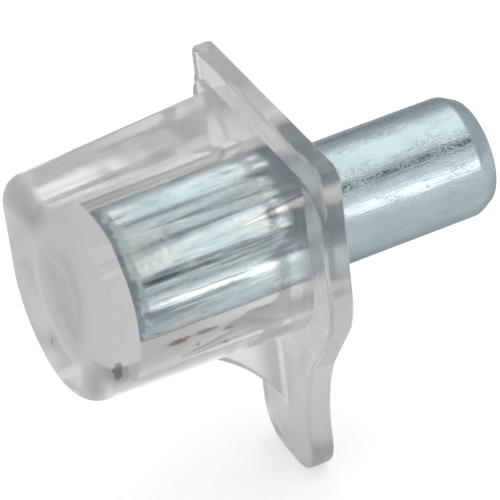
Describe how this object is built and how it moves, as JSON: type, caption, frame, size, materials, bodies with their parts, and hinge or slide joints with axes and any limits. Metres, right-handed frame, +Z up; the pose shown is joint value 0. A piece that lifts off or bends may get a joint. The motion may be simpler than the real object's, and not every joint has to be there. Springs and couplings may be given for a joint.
{
  "type": "shelf support pin",
  "caption": "Shelf support pin: a short plated steel peg held in a clear plastic rest with a flat seat, a stop flange and a tail that braces against the panel.",
  "frame": {"origin": "on the pin's axis, in the plane of the flange's back face", "axes": "+X along the pin towards its free tip, +Z up towards the shelf, +Y across"},
  "size_m": [0.0186, 0.0112, 0.017],
  "materials": {
    "plated_steel": "bright zinc plate over drawn wire, with fine lines and pits along the pin",
    "clear_plastic": "clear glossy moulding, faintly grey, with a few small bubbles"
  },
  "bodies": {
    "root": {"steel_pin": "plated_steel", "clear_sleeve": "clear_plastic"}
  },
  "joints": []
}
